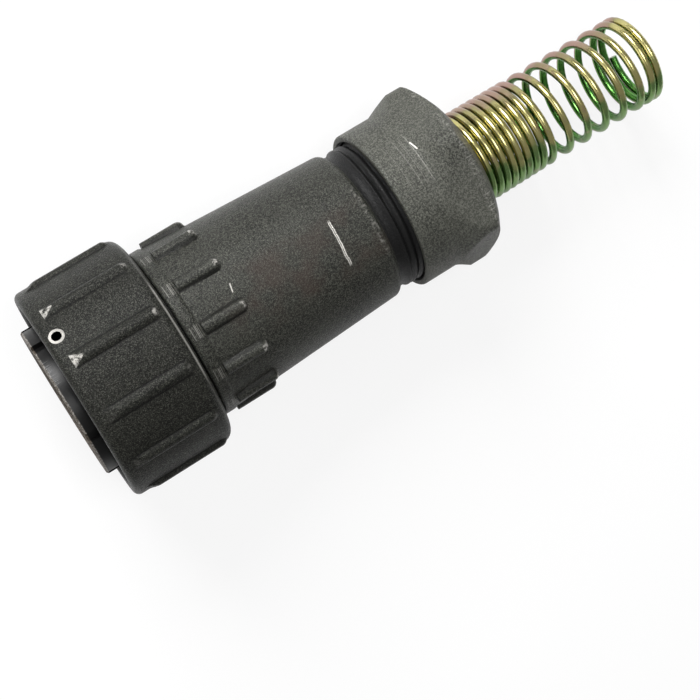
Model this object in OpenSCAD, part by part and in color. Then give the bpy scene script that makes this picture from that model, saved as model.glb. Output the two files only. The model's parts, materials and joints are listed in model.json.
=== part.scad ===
// Bayonet circular cable plug: six pins, threaded backshell, gland nut and bend-relief spring.
// The plug lies along X. The mating face is at x = 0, the cable leaves towards +X and +Z is up.
// Angles about the axis are degrees clockwise from the top, as seen when facing the pins.

/* [Nose] */
// Outside diameter of the nose that enters the receptacle, and of the barrel behind the flange
nose_od = 27.2; // [22:0.1:34]
// Wall of the nose
nose_wall = 1.9; // [1.4:0.1:2.6]
// Length of the nose, from its face to the shell flange
nose_len = 13.9; // [12:0.1:20]
// Width of the main keyway
main_key_w = 4.2; // [2:0.1:6]
// Width of each minor keyway
minor_key_w = 1.9; // [1:0.1:3]
// Depth of every keyway
key_depth = 1.0; // [0.4:0.1:1.2]
// Distance from the keyways' closed ends to the flange
key_land = 3.4; // [1.5:0.1:8]
// Angle of the main keyway
shell_roll = 159; // [0:1:359]

/* [Shell] */
// Height of the flange that the coupling ring pulls on
flange_h = 2.3; // [1.6:0.1:3]
// Thickness of the flange
flange_t = 2.0; // [1.2:0.1:3]
// Depth of the snap-ring groove in the barrel
groove_depth = 0.8; // [0.4:0.1:1.0]
// Step from the barrel down to the thread that carries the backshell
thread_step = 0.6; // [0.2:0.1:0.8]
// Length of that thread inside the backshell
shell_thread_len = 8.5; // [6:0.1:12]
// Thickness of the rubber face seal in front of the flange
face_seal_t = 1.0; // [0.5:0.1:2]
// Width of the face seal
face_seal_w = 2.0; // [1:0.1:2.2]
// Depth of the undercut that holds the face seal
face_seal_cut = 0.2; // [0.1:0.05:0.3]

/* [Coupling ring] */
// Gap between the flange and the bore of the ring
mouth_gap = 1.0; // [0.6:0.1:2]
// Wall of the ring between its grip ribs
ring_wall = 2.4; // [2:0.1:4]
// Height of the grip ribs
rib_h = 0.7; // [0.4:0.05:1]
// Distance from the mating face back to the front of the ring
ring_setback = 2.0; // [1.4:0.1:5]
// Thickness of the inner shoulder that pushes the shell home
ring_shoulder_t = 1.8; // [1:0.1:3]
// Length of ring behind the snap ring
ring_skirt = 0.3; // [0:0.05:2]
// Number of grip ribs
ring_ribs = 12; // [6:1:16]
// Radius of each grip rib
ring_rib_r = 1.3; // [0.8:0.05:1.6]
// Plain stretch in front of the ribs
rib_lead = 2.1; // [1.5:0.1:4]
// Plain stretch behind the ribs
rib_tail = 1.5; // [1:0.1:4]
// Rounding of the front edge
ring_front_round = 1.2; // [0.4:0.1:1.6]
// Rounding of the rear edge
ring_rear_round = 1.9; // [0.6:0.1:2.2]
// Length of the sloping front end of each rib
rib_ramp = 2.1; // [0.5:0.1:4]
// Chamfer inside the mouth of the ring
mouth_chamfer = 0.5; // [0.2:0.1:1]
// Free axial play of the ring, taken up by the wave washer
ring_play = 0.9; // [0.3:0.1:1.2]

/* [Bayonet studs] */
// Number of studs
stud_count = 3; // [3:1:3]
// Diameter of a stud
stud_d = 2.6; // [1.8:0.1:3]
// Wall of the hollow outer end of a stud
stud_wall = 0.45; // [0.3:0.05:0.7]
// Depth of the blind hole in a stud
stud_hole_depth = 2.4; // [1:0.1:3]
// Gap between the studs and the nose
stud_gap = 1.1; // [0.5:0.1:2]
// How far a stud's outer end lies below the surface of the ring
stud_sink = 0.1; // [0.05:0.05:0.4]
// Distance from the front of the ring to the stud centres
stud_setback = 2.2; // [2:0.1:6]
// Angle of the first stud
stud_roll = -45; // [-90:1:90]

/* [Washers behind the flange] */
// Thickness of the wave washer's strip
wave_t = 0.3; // [0.15:0.05:0.5]
// Height that stays between flange and thrust washer when the ring is pulled home
wave_rest = 0.4; // [0.35:0.05:1]
// Number of waves
wave_count = 3; // [2:1:6]
// Width of the washers
washer_w = 2.1; // [1.2:0.1:2.6]
// Thickness of the flat thrust washer
thrust_t = 0.5; // [0.3:0.1:1]
// Thickness of the snap ring
snap_t = 1.0; // [0.6:0.1:1.4]
// How far the snap ring stands above the barrel
snap_stand = 1.2; // [0.8:0.1:1.6]
// Angle that the open ends of the snap ring leave free
snap_gap = 24; // [12:1:40]

/* [Insert and contacts] */
// Distance from the mating face to the lip that stops the insert
insert_depth = 10.6; // [8:0.1:14]
// Thickness of the stop lip
lip_t = 0.8; // [0.4:0.1:1.2]
// Height of the stop lip inside the nose
lip_h = 0.3; // [0.2:0.1:1]
// Step from the bore of the nose out to the bore for the insulators
insert_step = 0.15; // [0.05:0.05:0.4]
// Thickness of the front insulator
front_insulator_t = 6.0; // [4:0.1:8]
// Thickness of the rear insulator
rear_insulator_t = 6.6; // [4:0.1:8]
// Thickness of the ring that holds the insulators in
insert_ring_t = 2.0; // [1.2:0.1:3]
// Width of that ring
insert_ring_w = 1.95; // [1:0.05:2.4]
// Width of the spanner slots in that ring
spanner_slot_w = 2.0; // [1:0.1:4]
// Number of contacts on the outer circle
outer_pins = 5; // [3:1:5]
// Diameter of that circle
pin_circle_d = 13.6; // [12:0.1:15.4]
// Diameter of a contact pin
pin_d = 2.36; // [1.6:0.02:2.8]
// Distance from the mating face back to the pin tips
pin_setback = 1.6; // [0.5:0.1:4]
// Height of a contact's shank above its pin
shank_h = 0.2; // [0.18:0.02:0.3]
// How far the shank stands out of the insulator
shank_stand = 0.1; // [0.05:0.05:0.4]
// Gap around each pin in the recess at its foot
pin_recess_gap = 0.82; // [0.4:0.02:1]
// Depth of that recess
pin_recess_depth = 1.2; // [0.4:0.1:2]
// Height of the shoulder that locks a contact in
contact_shoulder_h = 0.35; // [0.2:0.05:0.6]
// Length of that shoulder
contact_shoulder_len = 1.2; // [0.6:0.1:2]
// Outside diameter of a solder cup
cup_d = 3.1; // [2.8:0.05:3.5]
// Wall of a solder cup
cup_wall = 0.45; // [0.3:0.05:0.6]
// Length of cup that stands out of the rear insulator
cup_len = 5.0; // [3:0.1:7]

/* [Backshell] */
// Wall of the front collar, round the O-ring
bs_collar_wall = 0.97; // [0.6:0.01:2]
// Length of the plain front collar
bs_collar_len = 2.4; // [2:0.1:4]
// Step from the collar down to the tapered body
bs_step = 0.25; // [0.1:0.05:0.8]
// Length of the backshell, from its front face to the rear shoulder
bs_len = 36.8; // [30:0.1:50]
// Height of the grip beads above the collar
bead_h = 0.65; // [0.4:0.05:1]
// Number of grip beads
beads = 12; // [6:1:16]
// Radius of each grip bead
bead_r = 1.15; // [0.8:0.05:1.4]
// Distance from the collar's rear edge to the beads
bead_lead = 0.3; // [0.1:0.1:1]
// Length of each grip bead
bead_len = 8.0; // [5:0.1:12]
// Angle of the first grip bead
bead_roll = 19; // [0:1:29]
// Rounding of the rear shoulder
bs_round = 1.3; // [0.4:0.1:2]
// Wall of the tapered body
bs_wall = 2.2; // [1.4:0.1:2.6]
// Extra wall at the front of the wiring space
cavity_draft = 0.8; // [0:0.1:1.2]
// Room between the contacts' tails and the walls at both ends of the wiring space
cavity_room = 1.5; // [0.5:0.1:3]
// Cord of the O-ring at the joint with the shell
o_ring_d = 1.5; // [1:0.1:2]
// Free gap between the coupling ring and the backshell
bs_gap = 0.5; // [0.3:0.1:2]

/* [Cable gland] */
// Diameter of the gland thread on the backshell
neck_od = 26.4; // [22:0.1:30]
// Step from the rear shoulder down to that thread
neck_step = 0.55; // [0.2:0.05:2]
// Length of the neck behind the shoulder
neck_len = 10.2; // [9:0.1:14]
// Wall of the neck round the cable seal
neck_wall = 2.2; // [1.4:0.1:3]
// Depth of the relief groove next to the shoulder
neck_relief_depth = 0.5; // [0.2:0.1:0.8]
// Width of the relief groove
neck_relief_w = 1.4; // [0.8:0.1:2]
// Distance from the shoulder to the floor of the seal bore
seal_floor = 2.6; // [1.6:0.1:3.6]
// Width of the floor that the seal rests on
floor_w = 4.0; // [2:0.1:5]
// Thickness of the slip washer in front of the seal
slip_washer_t = 0.7; // [0.4:0.1:1.2]
// Length of the rubber cable seal
seal_len = 5.2; // [3.6:0.1:6]
// Bore of the cable seal
seal_id = 11.0; // [6:0.1:13]
// Chamfers on the rear end of the cable seal
seal_chamfer = 0.9; // [0.3:0.1:1.5]
// Step from the bore of the seal out to the bore of the clamp ferrule
ferrule_step = 1.2; // [0.4:0.1:2]
// Gap between the clamp ferrule and the neck
ferrule_gap = 0.2; // [0.1:0.05:0.4]
// Thickness of the flange on the clamp ferrule
ferrule_flange_t = 0.6; // [0.4:0.1:1.2]
// Gap between that flange and the thread of the nut
ferrule_flange_gap = 0.66; // [0.3:0.02:1]
// Free gap between the shoulder and the gland nut
nut_gap = 4.3; // [3.6:0.1:6]
// How far the nut can still be screwed on
take_up = 3.0; // [1.5:0.5:3.5]

/* [Gland nut] */
// Wall of the round collar
nut_wall = 1.44; // [1:0.02:2.4]
// Length of the round collar
nut_collar_len = 6.7; // [5:0.1:8]
// Step from the collar out to the flats of the hexagon
flat_step = 0.3; // [0.1:0.1:1]
// How much is turned off the corners of the hexagon
corner_cut = 0.42; // [0.2:0.02:0.8]
// Length of the flare from the collar out to the corners
nut_flare_len = 3.7; // [2.5:0.1:4.5]
// Length of the rear chamfer
nut_chamfer_len = 2.3; // [1:0.1:3]
// Depth of the rear chamfer, measured at the flats
nut_chamfer_h = 1.8; // [0.6:0.1:3]
// Wall behind the spring's wide turns
nut_rear_wall = 2.6; // [1.8:0.1:4]

/* [Bend-relief spring] */
// Diameter of the wire
wire_d = 1.4; // [1.1:0.05:1.6]
// Outside diameter of the spring where it leaves the nut
spring_od = 17.5; // [15:0.1:20]
// How much slimmer the spring's radius is at its free end
spring_taper = 0.3; // [0:0.05:1]
// How much wider the radius of the turns is that the nut holds
root_flare = 2.15; // [1.5:0.05:2.4]
// Number of wide turns
root_turns = 1.25; // [1:0.25:2]
// Number of close turns
close_turns = 11.75; // [6:0.25:14]
// Number of open turns
open_turns = 5.5; // [3:0.25:8]
// Number of close turns at the free end
end_turns = 2; // [1:0.25:3]
// Gap between the close turns
close_gap = 0.15; // [0.1:0.01:0.5]
// Gap between the open turns
open_gap = 2.5; // [1:0.05:4]
// Angle at which the wire starts
spring_roll = 0; // [0:5:355]

/* [Edges and fits] */
// Break of the sharp edges
edge = 0.3; // [0.1:0.05:0.35]
// Chamfer at the ends of the backshell
bs_edge = 0.4; // [0.1:0.05:0.45]
// Gap between flat faces of pieces that move on each other
face_gap = 0.05; // [0.03:0.01:0.1]
// Radial clearance of turning and threaded pieces
turn_gap = 0.06; // [0.04:0.01:0.1]
// Radial clearance of pieces that are assembled once
seat_gap = 0.04; // [0.02:0.01:0.08]
// Gap around pieces that must not rub
free_gap = 0.4; // [0.3:0.05:0.5]

/* [Hidden] */
$fn = 96;
cut = 2 * edge;                                         // overshoot of cutting shapes

contact_shoulder_r = cup_d / 2 + contact_shoulder_h;

// Minor keyways, clockwise from the main one
minor_keys = [105, 140, 215, 265];

// Diameters and radii, worked outwards from the nose
nose_r = nose_od / 2;
barrel_r = nose_r;
nose_bore_r = nose_r - nose_wall;
insert_r = nose_bore_r + insert_step;
insert_bore_r = insert_r + seat_gap;
flange_r = nose_r + flange_h;
mouth_r = flange_r + mouth_gap;
ring_r = mouth_r + ring_wall;
snap_seat_r = barrel_r - groove_depth;
snap_r = barrel_r + snap_stand;
washer_in_r = barrel_r + turn_gap;
washer_out_r = washer_in_r + washer_w;
shell_thread_r = barrel_r - thread_step;
o_ring_bore_r = shell_thread_r + o_ring_d + 2 * seat_gap;
bs_collar_r = o_ring_bore_r + bs_collar_wall;
bs_front_r = bs_collar_r - bs_step;
neck_r = neck_od / 2;
neck_bore_r = neck_r - neck_wall;
bs_rear_r = neck_r + neck_step;
floor_hole_r = neck_bore_r - floor_w;
nut_bore_r = neck_r + turn_gap;
nut_collar_r = nut_bore_r + nut_wall;
nut_flat_r = nut_collar_r + flat_step;
nut_corner_r = nut_flat_r / cos(30) - corner_cut;
root_r = spring_od / 2 + root_flare;
pocket_r = root_r + free_gap;
nut_hole_r = spring_od / 2 + free_gap;

// Stations along the axis, front to rear
flange_x = nose_len;
wave_x = flange_x + flange_t;
wave_h = wave_rest + ring_play;
thrust_x = wave_x + wave_h + 2 * face_gap;
shoulder_x = thrust_x + thrust_t + face_gap;
snap_x = shoulder_x + ring_shoulder_t + face_gap;
ring_end_x = snap_x + snap_t + ring_skirt;
bs_x = ring_end_x + bs_gap;
shell_end_x = bs_x + shell_thread_len;
front_insulator_x = insert_depth + lip_t;
rear_insulator_x = front_insulator_x + front_insulator_t;
insert_ring_x = rear_insulator_x + rear_insulator_t;
cup_end_x = insert_ring_x + cup_len;
bead_x = bs_x + bs_collar_len;
o_ring_x = bs_x + face_gap + o_ring_d / 2;
bs_thread_x = bs_x + o_ring_d + 2 * face_gap;
cavity_x = max(shell_end_x, cup_end_x, insert_ring_x + insert_ring_t) + cavity_room;
neck_x = bs_x + bs_len;
cavity_end_x = neck_x - bs_round - cavity_room / 2;
neck_end_x = neck_x + neck_len;
seal_floor_x = neck_x + seal_floor;
seal_x = seal_floor_x + slip_washer_t;
seal_end_x = seal_x + seal_len;
ferrule_x = seal_end_x + face_gap;
ferrule_flange_x = neck_end_x + take_up + 4 * face_gap;
nut_x = neck_x + nut_gap;
pocket_x = ferrule_flange_x + ferrule_flange_t + face_gap;
close_pitch = wire_d + close_gap;
open_pitch = wire_d + open_gap;
root_len = root_turns * close_pitch + wire_d;
nut_wall_x = pocket_x + root_len + 2 * face_gap;
nut_end_x = nut_wall_x + nut_rear_wall;
nut_hex_x = nut_x + nut_collar_len;
wire_x = pocket_x + face_gap + wire_d / 2;

// Places a child at an angle clockwise from the top
module turned(angle) {
    rotate([angle, 0, 0]) children();
}

// Turns a profile of [x, radius] points about the axis
module lathe(profile) {
    rotate([0, 90, 0]) rotate_extrude() polygon([for (p = profile) [p[1], p[0]]]);
}

// Straight round bar or hole along the axis, from x0 to x1
module bar(x0, x1, r) {
    translate([x0, 0, 0]) rotate([0, 90, 0]) cylinder(h = x1 - x0, r = r);
}

// Tube along the axis
module tube(x0, x1, r_in, r_out) {
    difference() {
        bar(x0, x1, r_out);
        bar(x0 - cut, x1 + cut, r_in);
    }
}

// Points of an arc about [x, r], for a turned profile, with angles from the axis
function arc(x, r, radius, from, to, steps = 6) =
    [for (i = [0:steps]) let (a = from + (to - from) * i / steps)
        [x + radius * cos(a), r + radius * sin(a)]];

module front_shell() {
    seal_cut_x = flange_x - face_seal_t - seat_gap;
    groove_x0 = snap_x - face_gap / 2;
    groove_x1 = snap_x + snap_t + face_gap / 2;
    color("dimgray") difference() {
        lathe([
            [0, nose_bore_r + edge], [0, nose_r - edge], [edge, nose_r], [seal_cut_x, nose_r],
            [seal_cut_x, nose_r - face_seal_cut], [flange_x, nose_r - face_seal_cut],
            [flange_x, flange_r - edge], [flange_x + edge, flange_r], [wave_x, flange_r],
            [wave_x, barrel_r], [groove_x0, barrel_r], [groove_x0, snap_seat_r],
            [groove_x1, snap_seat_r], [groove_x1, barrel_r], [bs_x, barrel_r],
            [bs_x, shell_thread_r], [shell_end_x - edge, shell_thread_r],
            [shell_end_x, shell_thread_r - edge], [shell_end_x, insert_bore_r],
            [front_insulator_x, insert_bore_r], [front_insulator_x, nose_bore_r - lip_h],
            [insert_depth, nose_bore_r - lip_h], [insert_depth, nose_bore_r], [edge, nose_bore_r]
        ]);
        keyway(0, main_key_w);
        for (angle = minor_keys) keyway(angle, minor_key_w);
    }
}

// Open slot cut into the outside of the nose
module keyway(angle, width) {
    turned(shell_roll + angle) translate([-cut, -width / 2, nose_r - key_depth])
        cube([flange_x - key_land + cut, width, key_depth + cut]);
}

module coupling_ring() {
    f = ring_front_round;
    b = ring_rear_round;
    shoulder_end_x = shoulder_x + ring_shoulder_t;
    color("darkslategray") difference() {
        union() {
            lathe(concat(
                [[ring_setback + mouth_chamfer, mouth_r], [ring_setback, mouth_r + mouth_chamfer]],
                arc(ring_setback + f, ring_r - f, f, 180, 90),
                arc(ring_end_x - b, ring_r - b, b, 90, 0),
                [
                    [ring_end_x, snap_r + free_gap], [shoulder_end_x, snap_r + free_gap],
                    [shoulder_end_x, washer_in_r], [shoulder_x, washer_in_r], [shoulder_x, mouth_r]
                ]
            ));
            for (i = [0:ring_ribs - 1]) turned(360 / ring_ribs * i) grip_rib();
        }
        for (i = [1:stud_count]) at_stud(i) cylinder(h = 2 * ring_r, r = stud_d / 2 + seat_gap);
    }
}

// Half-round rib with a sloping front end and a ball-shaped rear end
module grip_rib() {
    start = ring_setback + rib_lead;
    end = ring_end_x - rib_tail - ring_rib_r;
    difference() {
        translate([0, 0, ring_r + rib_h - ring_rib_r]) {
            bar(start, end, ring_rib_r);
            translate([end, 0, 0]) sphere(r = ring_rib_r);
        }
        translate([start, 0, ring_r - face_gap]) rotate([0, -atan(rib_h / rib_ramp), 0])
            translate([-rib_ramp, -2 * ring_rib_r, 0])
                cube([4 * rib_ramp, 4 * ring_rib_r, 2 * ring_rib_r]);
    }
}

// Places a child at a stud, with z running outwards
module at_stud(i) {
    turned(stud_roll + 360 / stud_count * (i - 1)) translate([ring_setback + stud_setback, 0, 0])
        children();
}

// Hollow stud pressed through the ring from outside
module bayonet_stud(i) {
    outer = ring_r - stud_sink;
    inner = nose_r + stud_gap;
    color("silver") at_stud(i) difference() {
        translate([0, 0, inner]) cylinder(h = outer - inner, r = stud_d / 2);
        translate([0, 0, outer - stud_hole_depth])
            cylinder(h = stud_hole_depth + cut, r = stud_d / 2 - stud_wall);
    }
}

// Flat strip bent into waves round the barrel
module wave_washer() {
    steps = 24 * wave_count;
    mid = wave_x + face_gap + wave_h / 2;
    swing = (wave_h - wave_t) / 2;
    ring = [for (i = [0:steps - 1]) let (a = 360 * i / steps, x = mid + swing * cos(wave_count * a))
        for (c = [[-1, washer_in_r], [1, washer_in_r], [1, washer_out_r], [-1, washer_out_r]])
            [x + c[0] * wave_t / 2, -c[1] * sin(a), c[1] * cos(a)]];
    color("silver") polyhedron(ring, [for (i = [0:steps - 1]) for (k = [0:3])
        [4 * i + k, 4 * ((i + 1) % steps) + k, 4 * ((i + 1) % steps) + (k + 1) % 4,
            4 * i + (k + 1) % 4]]);
}

module thrust_washer() {
    color("goldenrod") tube(thrust_x, thrust_x + thrust_t, washer_in_r, washer_out_r);
}

// Open snap ring in the groove of the barrel
module snap_ring() {
    inner = snap_seat_r + seat_gap;
    color("darkgray") turned(90) rotate([0, 90, 0])
        rotate_extrude(angle = 360 - snap_gap, start = snap_gap / 2)
            translate([inner, snap_x]) square([snap_r - inner, snap_t]);
}

module face_seal() {
    inner = nose_r - face_seal_cut + seat_gap;
    color("black") tube(flange_x - face_seal_t, flange_x, inner, inner + face_seal_w);
}

// Places a child on the axis of one contact
module at_contact(i) {
    radius = i <= outer_pins ? pin_circle_d / 2 : 0;
    turned(shell_roll + 360 / outer_pins * (i - 0.5)) translate([0, 0, radius]) children();
}

module front_insulator() {
    x0 = front_insulator_x;
    color("midnightblue") difference() {
        bar(x0, rear_insulator_x, insert_r);
        for (i = [1:outer_pins + 1]) at_contact(i) {
            bar(x0 - cut, rear_insulator_x + cut, pin_d / 2 + shank_h + seat_gap);
            bar(x0 - cut, x0 + pin_recess_depth, pin_d / 2 + pin_recess_gap);
        }
    }
}

module rear_insulator() {
    x0 = rear_insulator_x;
    color("royalblue") difference() {
        bar(x0, insert_ring_x, insert_r);
        for (i = [1:outer_pins + 1]) at_contact(i) {
            bar(x0 - cut, insert_ring_x + cut, cup_d / 2 + seat_gap);
            bar(x0 - cut, x0 + contact_shoulder_len + seat_gap, contact_shoulder_r + seat_gap);
        }
    }
}

// Turned contact: domed pin, locking shoulder and solder cup open to one side
module pin_contact(i) {
    pin_r = pin_d / 2;
    cup_r = cup_d / 2;
    join = seat_gap;
    color("gold") at_contact(i) difference() {
        union() {
            translate([pin_setback + pin_r, 0, 0]) sphere(r = pin_r);
            bar(pin_setback + pin_r, front_insulator_x, pin_r);
            bar(front_insulator_x - shank_stand, rear_insulator_x + join, pin_r + shank_h);
            bar(rear_insulator_x, rear_insulator_x + contact_shoulder_len, contact_shoulder_r);
            bar(rear_insulator_x + join, cup_end_x, cup_r);
        }
        bar(cup_end_x - 0.85 * cup_len, cup_end_x + cut, cup_r - cup_wall);
        translate([cup_end_x - 0.6 * cup_len, -cup_d, 0.3 * cup_r])
            cube([cup_len, 2 * cup_d, cup_d]);
    }
}

// Threaded ring with two spanner slots that clamps the insulators
module insert_ring() {
    x0 = insert_ring_x;
    color("gray") difference() {
        tube(x0, x0 + insert_ring_t, insert_r - insert_ring_w, insert_r);
        translate([x0 + insert_ring_t / 2, -2 * insert_r, -spanner_slot_w / 2])
            cube([insert_ring_t, 4 * insert_r, spanner_slot_w]);
    }
}

module backshell() {
    relief_r = neck_r - neck_relief_depth;
    thread_r = shell_thread_r + turn_gap;
    color("darkslategray") difference() {
        union() {
            lathe(concat(
                [
                    [bs_x, thread_r], [bs_x, bs_collar_r - bs_edge], [bs_x + bs_edge, bs_collar_r],
                    [bead_x - bs_edge, bs_collar_r], [bead_x, bs_front_r]
                ],
                arc(neck_x - bs_round, bs_rear_r - bs_round, bs_round, 90, 0),
                [
                    [neck_x, relief_r], [neck_x + neck_relief_w, relief_r],
                    [neck_x + neck_relief_w + neck_relief_depth, neck_r],
                    [neck_end_x - bs_edge, neck_r], [neck_end_x, neck_r - bs_edge],
                    [neck_end_x, neck_bore_r], [seal_floor_x, neck_bore_r],
                    [seal_floor_x, floor_hole_r], [cavity_end_x, floor_hole_r],
                    [cavity_end_x, bs_rear_r - bs_wall],
                    [cavity_x, bs_front_r - bs_wall - cavity_draft], [cavity_x, thread_r]
                ]
            ));
            for (i = [0:beads - 1]) turned(bead_roll + 360 / beads * i) grip_bead();
        }
        bar(bs_x - cut, bs_thread_x, o_ring_bore_r);
    }
}

// Half-round bead with a flat front end and a ball-shaped rear end
module grip_bead() {
    start = bead_x + bead_lead;
    end = start + bead_len - bead_r;
    translate([0, 0, bs_collar_r + bead_h - bead_r]) {
        bar(start, end, bead_r);
        translate([end, 0, 0]) sphere(r = bead_r);
    }
}

module backshell_o_ring() {
    color("black") translate([o_ring_x, 0, 0]) rotate([0, 90, 0]) rotate_extrude()
        translate([shell_thread_r + seat_gap + o_ring_d / 2, 0]) circle(d = o_ring_d);
}

module slip_washer() {
    color("silver") tube(seal_floor_x, seal_x, floor_hole_r, neck_bore_r - seat_gap);
}

// Rubber bush with a coned rear end
module cable_seal() {
    outer = neck_bore_r - seat_gap;
    inner = seal_id / 2;
    color("black") lathe([
        [seal_x, inner], [seal_x, outer], [seal_end_x - seal_chamfer, outer],
        [seal_end_x, outer - seal_chamfer], [seal_end_x, inner + seal_chamfer],
        [seal_end_x - seal_chamfer, inner]
    ]);
}

// Pushes on the seal when the nut is screwed home, and backs the spring
module clamp_ferrule() {
    outer = neck_bore_r - ferrule_gap;
    inner = seal_id / 2 + ferrule_step;
    flange = nut_bore_r - ferrule_flange_gap;
    end = ferrule_flange_x + ferrule_flange_t;
    color("silver") lathe([
        [ferrule_x, inner], [ferrule_x, outer], [ferrule_flange_x, outer],
        [ferrule_flange_x, flange], [end, flange], [end, inner + ferrule_step],
        [end - ferrule_step, inner]
    ]);
}

module gland_nut() {
    color("dimgray") difference() {
        union() {
            lathe([
                [nut_x, nut_bore_r + edge], [nut_x, nut_collar_r - edge],
                [nut_x + edge, nut_collar_r], [nut_hex_x + nut_flare_len, nut_collar_r],
                [nut_hex_x + nut_flare_len, nut_bore_r], [nut_x + edge, nut_bore_r]
            ]);
            hexagon();
        }
        bar(nut_hex_x - cut, pocket_x, nut_bore_r);
        bar(pocket_x - cut, nut_wall_x, pocket_r);
        bar(nut_wall_x - cut, nut_end_x + cut, nut_hole_r);
    }
}

// Hexagon turned to a cone at both ends
module hexagon() {
    intersection() {
        translate([nut_hex_x, 0, 0]) rotate([30, 0, 0]) rotate([0, 90, 0])
            cylinder(h = nut_end_x - nut_hex_x, r = nut_flat_r / cos(30), $fn = 6);
        lathe([
            [nut_hex_x, 0], [nut_hex_x, nut_collar_r],
            [nut_hex_x + nut_flare_len, nut_corner_r],
            [nut_end_x - nut_chamfer_len, nut_corner_r], [nut_end_x, nut_flat_r - nut_chamfer_h],
            [nut_end_x, 0]
        ]);
    }
}

// Turns at which the spring changes its pitch
open_start = root_turns + close_turns;
open_end = open_start + open_turns;
all_turns = open_end + end_turns;

// Area under a ramp that rises from 0 to 1 during one turn
function ramp_area(t, start) =
    t <= start ? 0 : t >= start + 1 ? t - start - 0.5 : pow(t - start, 2) / 2;

// Place of the wire along the axis after t turns
function wire_place(t) = wire_x + close_pitch * t + (open_pitch - close_pitch)
    * (ramp_area(t, open_start - 0.5) - ramp_area(t, open_end - 0.5));

// Radius of the wire's centre line after t turns
function wire_radius(t) =
    let (narrow = min(1, max(0, (t - root_turns + 0.4) / 0.8)),
        far = max(0, (t - root_turns) / (all_turns - root_turns)),
        body = spring_od / 2 - spring_taper * far)
    root_r + (body - root_r) * narrow * narrow * (3 - 2 * narrow) - wire_d / 2;

// Round wire swept along the coil by its own formulas
module bend_spring() {
    per_turn = 18;
    sides = 8;
    last = ceil(all_turns * per_turn);
    points = [for (i = [0:last]) let (t = i / per_turn, a = spring_roll + 360 * t)
        for (k = [0:sides - 1]) let (w = 360 / sides * (k + 0.5),
            r = wire_radius(t) + wire_d / 2 * cos(w))
            [wire_place(t) + wire_d / 2 * sin(w), -r * sin(a), r * cos(a)]];
    skin = [for (i = [0:last - 1]) for (k = [0:sides - 1])
        [sides * i + k, sides * (i + 1) + k, sides * (i + 1) + (k + 1) % sides,
            sides * i + (k + 1) % sides]];
    front = [[for (k = [0:sides - 1]) k]];
    back = [[for (k = [sides - 1:-1:0]) sides * last + k]];
    color("olive") polyhedron(points, concat(skin, front, back));
}

front_shell();
coupling_ring();
bayonet_stud(1);  // bayonet_stud_1
bayonet_stud(2);  // bayonet_stud_2
bayonet_stud(3);  // bayonet_stud_3
wave_washer();
thrust_washer();
snap_ring();
face_seal();
front_insulator();
rear_insulator();
pin_contact(1);  // pin_contact_1
pin_contact(2);  // pin_contact_2
pin_contact(3);  // pin_contact_3
pin_contact(4);  // pin_contact_4
pin_contact(5);  // pin_contact_5
pin_contact(6);  // pin_contact_6
insert_ring();
backshell();
backshell_o_ring();
slip_washer();
cable_seal();
clamp_ferrule();
gland_nut();
bend_spring();
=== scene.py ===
# %% [markdown]
# # A bayonet power plug, dressed piece by piece
# The object is the cable half of a round six-contact power connector. A ribbed ring
# with three studs locks it, a tapered backshell covers the wiring, and a gland nut
# clamps the cable and holds a bend-relief spring. The CAD model is the fixed frame:
# it says where every piece is. This lesson adds the soft shapes of cast and coated
# metal, and a finish for each material.

# %% Load the frame
import json
import math

import bmesh
import bpy
from mathutils import Matrix, Vector


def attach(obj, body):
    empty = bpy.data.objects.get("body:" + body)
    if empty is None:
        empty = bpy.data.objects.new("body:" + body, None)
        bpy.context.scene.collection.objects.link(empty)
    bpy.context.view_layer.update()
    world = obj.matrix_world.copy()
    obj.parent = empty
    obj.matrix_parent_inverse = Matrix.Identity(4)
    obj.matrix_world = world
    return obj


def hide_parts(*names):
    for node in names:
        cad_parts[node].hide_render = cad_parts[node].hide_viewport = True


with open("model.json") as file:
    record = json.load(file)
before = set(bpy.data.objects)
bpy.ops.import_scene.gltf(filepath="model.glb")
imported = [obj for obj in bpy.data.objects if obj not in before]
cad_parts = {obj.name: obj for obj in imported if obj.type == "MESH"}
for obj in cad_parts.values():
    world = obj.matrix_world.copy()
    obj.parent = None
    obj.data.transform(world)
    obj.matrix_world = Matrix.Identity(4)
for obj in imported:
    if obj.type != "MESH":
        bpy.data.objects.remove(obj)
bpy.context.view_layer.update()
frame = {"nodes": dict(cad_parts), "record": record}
nodes = frame["nodes"]

# %% [markdown]
# ## The plug's own coordinates
# The plug is a body of revolution about the X axis. A place on it is told by three
# numbers: how far behind the mating face, how far from the axis, and at which angle,
# clockwise from the top for someone who faces the pins. All lengths are millimetres
# until the last moment, because small numbers of metres are hard to read.

# %% Place a point by distance, radius and angle
MM = 0.001


def outward(degrees):
    """The unit vector from the axis towards that angle."""
    turn = math.radians(degrees)
    return Vector((0, -math.sin(turn), math.cos(turn)))


def spot(x, radius, degrees):
    """A point in metres."""
    return Vector((x * MM, 0, 0)) + outward(degrees) * radius * MM


def angle_of(point):
    """The angle in degrees at which a point lies round the axis."""
    return math.degrees(math.atan2(-point.y, point.z))


print("the first bayonet stud stands at", tuple(round(v, 4) for v in spot(4.2, 19.2, -45)))

# %% [markdown]
# ## The camera comes first
# The plug lies on a table and is seen from above, a little from the cable side. The
# camera is set by its three axes, which is exact, where aiming at a target would leave
# the roll to chance.

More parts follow.
